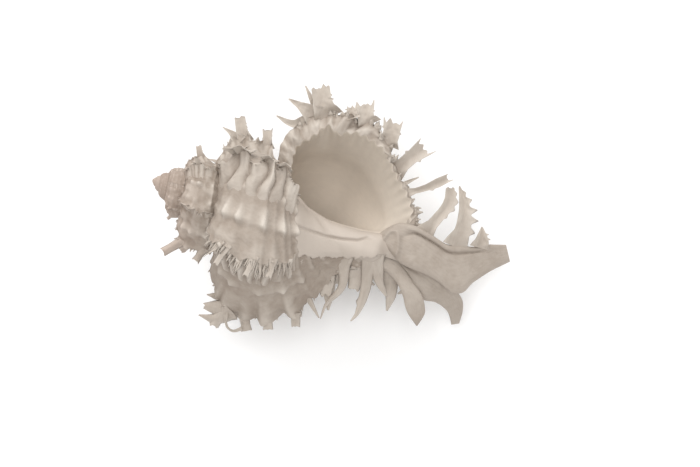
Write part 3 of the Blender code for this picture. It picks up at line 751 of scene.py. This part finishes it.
def blade(cast, angle, line, shape, seed, rows, cols, thickness=1.1, scale=1.0, depth=2.2):
    """A folded blade: a thin strip carried along a smooth line from root to tip.

    The strip's edges fold forward in proportion to its width and carry teeth. At the tip each strand of the
    strip runs on by the length of the tine it lies in.
    """
    ahead = line[1] - line[0]
    ahead = ahead / np.linalg.norm(ahead)
    line = np.concatenate([[line[0] - ahead * depth * scale], line])
    v = even(rows)
    middle = curve_through(line, v)
    run = np.gradient(middle, axis=0)
    run = run / np.linalg.norm(run, axis=1, keepdims=True)
    side = np.stack([run[:, 1], -run[:, 0], np.zeros(rows)], axis=-1)
    side = side / np.linalg.norm(side, axis=1, keepdims=True)
    u = np.linspace(-1, 1, cols)[None, :]
    wide = scale * np.interp(v, even(len(shape.widths)), shape.widths)[:, None]
    across = u * wide / 2
    for sign in (-1, 1):
        tooth = spikes(v, [(at, length) for at, where, length in shape.teeth if where == sign], 0.055)
        across = across + sign * scale * tooth[:, None] * np.clip(sign * u, 0, 1) ** 4
    longer = scale * (spikes(u, shape.tines, 0.34) + 0.15 * rumple(u * 4, seed))
    stretch = longer * v[:, None] ** 6
    fold = shape.fold * wide * np.abs(u) ** 1.6 * eased(v / 0.3)[:, None]
    fold = fold + 0.22 * scale * rumple(v[:, None] * 6, u * 2, seed)
    thin = scale * thickness * (1 - 0.6 * v[:, None]) * (1 - 0.55 * np.abs(u) ** 2)
    sheet = middle[:, None, :] + side[:, None, :] * across[..., None] + run[:, None, :] * stretch[..., None]
    sheet[..., 2] -= shape.tilt * (sheet[..., 0] - middle[:, None, 0]) * (1 - eased(v / 0.6))[:, None]
    face = sheet + (fold + thin / 2)[..., None] * (0, 0, 1)
    back = sheet + (fold - thin / 2)[..., None] * (0, 0, 1)
    ring = np.concatenate([face, back[:, -2:0:-1]], axis=1)
    around = quads(rows, ring.shape[1], closed=True)
    faces = np.concatenate([around, *end_caps(rows, cols, ring.shape[1])])[:, ::-1]
    edge = np.abs(np.concatenate([u, u[:, -2:0:-1]], axis=1))
    wear = 0.35 + 0.35 * edge + 0.3 * v[:, None]
    cast.add(grown(angle, *ring.transpose(2, 0, 1)), faces, angle + ring[..., 2], ring[..., 0] / 10, wear)


def end_caps(rows, cols, count):
    """Faces that close the first and the last ring of a strip, from its face across to its back."""
    i = np.arange(1, cols - 2)
    ends = [[0, 0, 1, count - 1], [cols - 2, cols - 2, cols - 1, cols]]
    cap = np.concatenate([np.stack([i, i + 1, count - i - 1, count - i], axis=-1), ends])
    return cap[:, ::-1], cap + (rows - 1) * count


def frills(cast, varix, number):
    """Small scales of chance sizes along a flange's edge, from a seeded generator."""
    chance = np.random.default_rng(500 + number)
    count, length = varix.frills
    limit = float(covered_to(varix.angle)) * (0.9 if varix.angle > -360 else 0.75)
    forward = math.tan(math.radians(varix.lean))
    for share in np.sort(chance.uniform(0.06, min(limit, varix.ends - 0.08), count)):
        crest, away = crest_point(varix, share)
        start = crest - away * 0.9
        way = away + np.array([chance.normal(0, 0.22), 0, forward + chance.normal(0, 0.3)])
        reach = length * chance.uniform(0.5, 1.3) * (0.55 + 0.45 * float(eased((share - 0.14) / 0.14)))
        tip = start + way / np.linalg.norm(way) * (reach + 0.9)
        middle = (start + tip) / 2 + chance.normal(0, 0.15, 3) + away * 0.2 * forward
        base = chance.uniform(0.9, 2) * (1 + 0.08 * max(0, length - 2))
        shape = Frond([], (base, 0.75 * base, 0.25))
        blade(cast, varix.angle, np.array([start, middle, tip]), shape, number + share, 7, 3, 0.7, depth=0.6)


def grow_fronds(name, first, last, rows, cols):
    """Every frond of the varices between two angles, as one piece."""
    cast = Cast()
    for number, varix in enumerate(VARICES):
        if not first < varix.angle <= last:
            continue
        for place, (frond, length) in enumerate(varix.fronds.items()):
            scale = min(1, 0.4 + 0.6 * length) * varix.wide
            depth = 0.6 if varix.angle == 0 or frond in CANAL_FRONDS else 2
            blade(cast, varix.angle, frond_line(varix, frond), FRONDS[frond], number * 17 + place, rows, cols,
                  scale=scale, depth=depth)
        frills(cast, varix, number)
    cast.made(name)


def grow_neck_blades():
    """The long blades below the inner lip, as one piece."""
    cast = Cast()
    for number, shape in enumerate(NECK_BLADES):
        blade(cast, 0, np.array(shape.line), shape, 300 + number, 34, 9, 1.2)
    cast.made("neck_blades")


# The aperture


def aperture():
    """The aperture's inside, down into the last whorl, and the lip's front face beside it.

    The inside is a closed outline carried back through growth, from the flared mouth to the hollow. Along the
    outer lip its edge has flutes that fade inward.
    """
    cast = Cast()
    theta = np.arange(260) / 260
    mouth = curve_through(MOUTH, theta, closed=True)
    hollow = curve_through(HOLLOW, theta, closed=True)
    outer = eased(theta / 0.08) * eased((LIP_SHARE - theta) / 0.06)
    scallop = outer * 0.45 * np.cos(theta * 2 * math.pi * 36)
    angle = np.concatenate([[1, 0.4], -even(110) ** 1.25 * HOLLOW_TURNS_DEG])[:, None]
    flare = np.clip(1 + angle / FLARE_DEG, 0, 1) ** 2
    h, r = (hollow[:, i] + (mouth - hollow)[:, i] * flare for i in (0, 1))
    away_h, away_r = outward(h, r)
    rim = np.interp(angle, (0, 0.4, 1), (0, 0.15, 0.5))
    push = scallop * np.exp(np.minimum(angle, 0) / 5) + rim * outer
    sunk = 0.6 * (1 - outer) * eased((theta - 0.6) / 0.05) * eased(1 + angle / 10)
    points = grown(angle, h + away_h * push, r + away_r * push - sunk)
    # Painted light: the tone turns lighter deeper inside the aperture, standing in for light that comes through
    # the thin wall.
    cast.grid(points, angle, theta, eased((-6 - angle) / 50), closed=True)
    lip_face(points[0], theta)
    cast.made("aperture", "smooth_inside")


def ruled(edge, other, v):
    """A ruled surface from one line of points to another."""
    return edge * (1 - v[..., None]) + other * v[..., None]


def lip_face(edge, theta):
    """The lip's front face, between the flange's edge and the mouth's, with a soft swell halfway.

    The channels of the fronds run on into it and fade towards the mouth. Past the mouth's end a plain web
    joins the wall's edge to the middle of the canal.
    """
    cast = Cast()
    lip = VARICES[0]
    take = theta < LIP_SHARE
    s = np.interp(theta[take] / LIP_SHARE, *LIP_TO_WALL)
    crest = grown(0, *wall_points(lip, 0 * s, s)[:3])
    v = even(18)[:, None]
    face = ruled(crest, edge[take], v)
    swell = np.minimum(1, VARIX_HEIGHT * varix_share(s, 0, lip) / 3)
    rough = 0.75 * rumple(s * 62, v * 2, 8) + 0.45 * rumple(s * 140, v * 3, 3)
    channel = ribs(s, lip) * (1 - v) ** 1.5
    face[..., 2] += np.sin(math.pi * v) * (0.7 + rough) * swell + 0.8 * flutes(s, lip) * (1 - v) * v
    face[..., 2] -= 0.9 * channel
    # Painted shade: the tone is darker in the fronds' channels; the rough part is the lip's own patchy tone.
    cast.grid(face, v, s, np.clip(0.5 + 0.6 * rough - 0.45 * channel, 0, 1))
    canal_rows = CANALS["siphonal_canal"]
    middle_h, middle_up = ((canal_rows[:, i] + canal_rows[:, i + 2]) / 2 for i in (0, 1))
    s = np.linspace(0.72, 1, 40)
    h, r, fold, _ = wall_points(lip, 0 * s, s)
    at = np.clip(h, 75, 92)
    canal_side = grown(0, at, np.interp(at, middle_h, middle_up), np.interp(at, middle_h, canal_rows[:, 4]))
    v = even(8)[:, None]
    cast.grid(ruled(grown(0, h, r, fold), canal_side, v), v, s, 0.2)
    cast.made("lip_face")


def inner_lip():
    """The columella and the callus laid over it, as a radius about the axis for each place along and round.

    The radius is the greater of the pillar and the body whorl beneath, which is the wall a turn earlier, and
    the callus adds a thin layer that ends in a ragged step below and fades out towards the spire. A groove
    runs along its middle.
    """
    cast = Cast()
    along = np.linspace(34.6, 79, 160)[:, None]
    azimuth = np.linspace(58, 275, 170)[None, :]
    angle = azimuth - 450
    radial = RADIAL_GROWTH ** (angle / 360)
    h_body = SUTURE_H + (along - suture_h(angle)) / radial
    body = np.where(h_body > 90, 0, np.interp(h_body, WALL_FINE[:, 0], WALL_FINE[:, 1]) * radial)
    turn = eased((azimuth - 90) / 70)
    core = np.interp(along, *PILLAR_AT_MOUTH.T) * (1 - turn) + np.interp(along, *COLUMELLA.T) * turn
    limit = np.interp(azimuth, (90, 130, 180, 220, 258), (38.5, 41, 45, 48, 49.5))
    thick = 0.7 + 0.8 * eased((238 - azimuth) / 22) * eased((along - 43.5) / 2.5)
    cover = thick * eased((along - limit + 0.4) / 1.2) - 0.6 * eased((limit - along) / 1.5)
    skin = body + cover
    radius = (core + skin) / 2 + np.sqrt((core - skin) ** 2 + 1.2) / 2
    turned = np.radians(azimuth - 90)
    up = radius * np.cos(turned)
    edge_up = np.interp(along, (47, 49.3, 55, 60.9, 69.9, 73.8), (-8.5, -8, -6.5, -4.8, -1.6, 1.9))
    ragged = edge_up + 0.5 * rumple(along * 1.3, 0) + 0.25 * rumple(along * 3.4, 5)
    below = eased((ragged - up) / 0.9)
    groove_up = np.interp(along, (45.6, 54.6, 59.7, 64.3, 66.9), (0.3, 0.1, 0.8, 2, 3.8))
    groove = bell((up - groove_up) / 0.45) * eased((along - 44.6) / 2) * eased((69.5 - along) / 4)
    sunk = 0.8 * eased((88 - azimuth) / 20) + 3.2 * eased((along - 70.5) / 5)
    radius = np.maximum(radius - 1.4 * below - 0.75 * groove - sunk, 0.3)
    points = grown(0, along, radius * np.cos(turned), radius * np.sin(turned))
    # Painted shade: the tone is darker in the groove, and painted shadow darkens the wall below the callus's
    # ragged step.
    cast.grid(points, azimuth, along / 10, 1 - 0.9 * groove - 0.6 * below, flip=True)
    cast.made("inner_lip", "inner_lip_glaze")


# The canals


def canal(name):
    """One flattened canal: a section carried between its upper and lower edges, from the root to the end.

    At each step the section's width runs from the lower edge to the upper one, and its thickness towards the
    front. Along the first canal the section has a slit, which fades at both ends.
    """
    cast = Cast()
    rows, cols = 120, 96
    t = even(rows)
    upper = curve_through(CANALS[name][:, [0, 1, 4, 5]], t)
    lower = curve_through(CANALS[name][:, [2, 3, 4, 5]], t)
    out, thick = ((upper + lower) / 2)[:, 2:].T
    around = np.arange(cols) / cols
    slit, plain = (curve_through(SECTION[:, [0, i]], around, closed=True) for i in (1, 2))
    open_slit = (SLITS[name] * eased((t - 0.16) / 0.14) * eased((0.97 - t) / 0.2))[:, None, None]
    section = slit * open_slit + plain * (1 - open_slit)
    middle, half = (upper + lower)[:, :2] / 2, (upper - lower)[:, :2] / 2
    flat = middle[:, None, :] + half[:, None, :] * section[..., :1]
    deep = out[:, None] + thick[:, None] * section[..., 1]
    deep = deep + 0.14 * rumple(t[:, None] * 12, section[..., 0] * 2)
    if name == "siphonal_canal":
        tooth = curve_through(TOOTH, even(40))
        apart = np.hypot(flat[..., 0, None] - tooth[:, 0], flat[..., 1, None] - tooth[:, 1]).min(axis=-1)
        deep = deep + np.where(section[..., 1] > 0, 0.9 * bell(apart / 0.75), 0)
    points = grown(0, flat[..., 0], flat[..., 1], deep)
    cast.grid(points, t[:, None] * 60, section[..., 0] * 0.3, 0.3, closed=True, flip=True)
    i = np.arange(cols)
    after = (i + 1) % cols
    for row, near, far in ((0, i, after), (rows - 1, after, i)):
        disc = np.concatenate([points[row], points[row].mean(axis=0)[None]])
        cast.add(disc, np.stack([near, near, far, np.full(cols, cols)], axis=-1), 0, 0, 0.3)
    cast.made(name)


# Finishes


# Each finish's lighter tone, how much darker its other tone is (0 for the dark tone), its roughness, the
# strength of its bump and how much the piece's tone for rubbed edges and painted light and shade lightens it
FINISHES = {
    "chalky_outside": ("light_tone", 0.0, 0.66, 0.45, 0.62),
    "smooth_inside": ("inside_tone", 0.72, 0.45, 0.07, 0.6),
    "inner_lip_glaze": ("glaze_tone", 0.8, 0.46, 0.07, 0.5),
}
# Where along the shell, in metres, the pink of the apex begins and is full
BLUSH_FROM, BLUSH_FULL = -0.036, -0.053


def coated(name):
    """A new material, and the inputs of its surface."""
    made = bpy.data.materials.new(name)
    made.use_nodes = True
    return made, made.node_tree.nodes["Principled BSDF"].inputs


def finish(name):
    """Shell between two tones, with growth lines and grain as bump, made when it is first asked for.

    The tone is a sum of the piece's tone for rubbed edges and painted light and shade, soft patches, specks and
    fine lines along the growth. Towards the apex it turns a little pink.
    """
    if name in bpy.data.materials:
        return bpy.data.materials[name]
    settings = bpy.context.scene.murex
    tone_name, darker, rough, relief, wear_and_light_share = FINISHES[name]
    light = tuple(getattr(settings, tone_name))
    dark = tuple(darker * part for part in light) if darker else tuple(settings.dark_tone)
    made, surface = coated(name)
    tree = made.node_tree
    surface["Specular IOR Level"].default_value = 0.3

    def node(kind, **values):
        """A node: names in small letters are its own settings, the others its inputs, linked or set."""
        found = tree.nodes.new("ShaderNode" + kind)
        for key, value in values.items():
            if key.islower():
                setattr(found, key, value)
            elif isinstance(value, bpy.types.NodeSocket):
                tree.links.new(value, found.inputs[key])
            else:
                found.inputs[key].default_value = value
        return found

    def noise(vector, scale, detail=3, rough_share=0.6):
        return node("TexNoise", Vector=vector, Scale=scale, Detail=detail, Roughness=rough_share).outputs["Fac"]

    def ranged(source, low, high, **ends):
        return node("MapRange", Value=source, **{"To Min": low, "To Max": high}, **ends).outputs["Result"]

    def summed(*parts):
        total = parts[0]
        for part in parts[1:]:
            step = node("Math")
            tree.links.new(total, step.inputs[0])
            tree.links.new(part, step.inputs[1])
            total = step.outputs[0]
        return total

    where = node("TexCoord").outputs["Object"]
    growth = node("UVMap", uv_map="growth").outputs["UV"]
    wear_and_light = node("Attribute", attribute_name="wear").outputs["Fac"]
    specks = noise(where, 420)
    lines = noise(node("Mapping", Vector=growth, Scale=(3, 0.7, 1)).outputs["Vector"], 4, 3, 0.55)
    # The piece's tone brings in its rubbed edges and its painted light and shade.
    tone = summed(ranged(wear_and_light, 0, wear_and_light_share), ranged(noise(where, 70, 4), -0.22, 0.36),
                  ranged(specks, -0.14, 0.14), ranged(lines, -0.1, 0.14))
    mix = node("Mix", data_type="RGBA", Factor=tone, A=(*dark, 1), B=(*light, 1))
    along = node("SeparateXYZ", Vector=where).outputs["X"]
    blush = node("Mix", data_type="RGBA", blend_type="MULTIPLY",
                 Factor=ranged(along, 0, 0.55, **{"From Min": BLUSH_FROM, "From Max": BLUSH_FULL}),
                 A=mix.outputs["Result"], B=(0.86, 0.7, 0.66, 1))
    height = summed(noise(where, 900, 3, 0.5), lines)
    bump = node("Bump", Height=height, Strength=relief, Distance=0.0004)
    tree.links.new(blush.outputs["Result"], surface["Base Color"])
    tree.links.new(ranged(specks, rough - 0.12, rough + 0.12), surface["Roughness"])
    tree.links.new(bump.outputs["Normal"], surface["Normal"])
    return made


def tone_setting(name, description, default):
    """A colour in the sidebar."""
    return bpy.props.FloatVectorProperty(
        name=name, description=description, default=default, size=3, subtype="COLOR", min=0, max=1)


class MurexSettings(bpy.types.PropertyGroup):
    light_tone: tone_setting("Light tone", "Lightest colour of the chalky outside", (0.66, 0.60, 0.53))
    dark_tone: tone_setting("Dark tone", "Darkest colour of the chalky outside", (0.30, 0.245, 0.20))
    inside_tone: tone_setting("Inside tone", "Colour of the smooth inside of the aperture", (0.74, 0.65, 0.55))
    glaze_tone: tone_setting("Glaze tone", "Colour of the glaze laid over the inner lip", (0.545, 0.475, 0.41))
    floor_tone: tone_setting("Floor tone", "Colour of the floor", (0.98, 0.98, 0.98))
    camera_distance: bpy.props.FloatProperty(
        name="Camera distance", description="From the camera to the middle of the view",
        default=1.2, unit="LENGTH", min=0.2, max=5.0)


class MUREX_OT_whorls(bpy.types.Operator):
    """Grows the outer wall of the spire and the last whorl"""
    bl_idname = "murex.whorls"
    bl_label = "Grow whorls"

    def execute(self, context):
        grow_whorls("spire", -1200, -345, 150)
        grow_whorls("last_whorl_front", -345, -200, 240)
        grow_whorls("last_whorl_back", -200, 0, 200)
        return {"FINISHED"}


class MUREX_OT_fronds(bpy.types.Operator):
    """Grows the fronds of every varix"""
    bl_idname = "murex.fronds"
    bl_label = "Grow fronds"

    def execute(self, context):
        grow_fronds("fronds_of_lip", -1, 0, 64, 19)
        grow_fronds("fronds_of_last_whorl", -350, -1, 30, 11)
        grow_fronds("fronds_of_spire", -1200, -350, 20, 9)
        grow_neck_blades()
        return {"FINISHED"}


class MUREX_OT_aperture(bpy.types.Operator):
    """Lays the lip's face, the inside of the aperture and the inner lip"""
    bl_idname = "murex.aperture"
    bl_label = "Open aperture"

    def execute(self, context):
        aperture()
        inner_lip()
        return {"FINISHED"}


class MUREX_OT_canals(bpy.types.Operator):
    """Draws the siphonal canal and the two older canal ends"""
    bl_idname = "murex.canals"
    bl_label = "Draw canals"

    def execute(self, context):
        for name in CANALS:
            canal(name)
        return {"FINISHED"}


class MUREX_OT_stage(bpy.types.Operator):
    """Sets the floor, the soft lights and the camera"""
    bl_idname = "murex.stage"
    bl_label = "Set stage"

    def execute(self, context):
        settings = context.scene.murex
        scene = context.scene
        mesh = bpy.data.meshes.new("floor")
        corners = [(x * FLOOR_REACH, y * FLOOR_REACH, 0) for x, y in ((-1, -1), (1, -1), (1, 1), (-1, 1))]
        mesh.from_pydata(corners, [], [(0, 1, 2, 3)])
        paint, coat = coated("pale_floor")
        coat["Base Color"].default_value = (*settings.floor_tone, 1)
        coat["Roughness"].default_value = 0.9
        mesh.materials.append(paint)
        placed("floor", mesh)
        scene.world = bpy.data.worlds.new("soft_room")
        scene.world.use_nodes = True
        sky = scene.world.node_tree.nodes["Background"].inputs
        sky["Color"].default_value = (1, 1, 1, 1)
        sky["Strength"].default_value = 0.78
        soft_light("window", (-0.3, 1.3, 0.9), 1, 13)
        soft_light("overhead", (0.1, 0, 2.2), 1.2, 18)
        scene.view_settings.view_transform = "Standard"
        set_camera(context, settings.camera_distance)
        return {"FINISHED"}


def soft_light(name, place, size, power):
    """A square soft light that faces the shell."""
    lamp = bpy.data.lights.new(name, "AREA")
    lamp.size = size
    lamp.energy = power
    made = placed(name, lamp)
    made.location = place
    made.rotation_euler = (Vector((0, 0, 0.03)) - made.location).to_track_quat("-Z", "Y").to_euler()


def set_camera(context, distance):
    """The camera looks straight at the photograph's plane, so that the picture has its width there."""
    turn = Matrix(rest_turn().tolist())
    middle = Vector(settled(np.array(VIEW_MIDDLE_MM)).tolist())
    lens = bpy.data.cameras.new("photo_camera")
    lens.sensor_width = 36
    lens.lens = lens.sensor_width * distance / VIEW_WIDTH
    lens.clip_start = 0.01
    lens.clip_end = 50
    camera = placed("photo_camera", lens)
    camera.matrix_world = Matrix.Translation(middle + turn @ Vector((0, 0, distance))) @ turn.to_4x4()
    context.scene.camera = camera


class MUREX_PT_panel(bpy.types.Panel):
    """Lists the steps that make the shell"""
    bl_idname = "MUREX_PT_panel"
    bl_label = "Murex shell"
    bl_space_type = "VIEW_3D"
    bl_region_type = "UI"
    bl_category = "Murex"

    def draw(self, context):
        settings = context.scene.murex
        for name in MurexSettings.__annotations__:
            self.layout.prop(settings, name)
        for step in STEPS:
            self.layout.operator(step.bl_idname)


STEPS = (MUREX_OT_whorls, MUREX_OT_fronds, MUREX_OT_aperture, MUREX_OT_canals, MUREX_OT_stage)
CLASSES = (MurexSettings, *STEPS, MUREX_PT_panel)


def register():
    for cls in CLASSES:
        bpy.utils.register_class(cls)
    bpy.types.Scene.murex = bpy.props.PointerProperty(type=MurexSettings)


def unregister():
    del bpy.types.Scene.murex
    for cls in reversed(CLASSES):
        bpy.utils.unregister_class(cls)


def main():
    register()
    bpy.ops.murex.whorls()
    bpy.ops.murex.fronds()
    bpy.ops.murex.aperture()
    bpy.ops.murex.canals()
    bpy.ops.murex.stage()


if __name__ == "__main__":
    main()
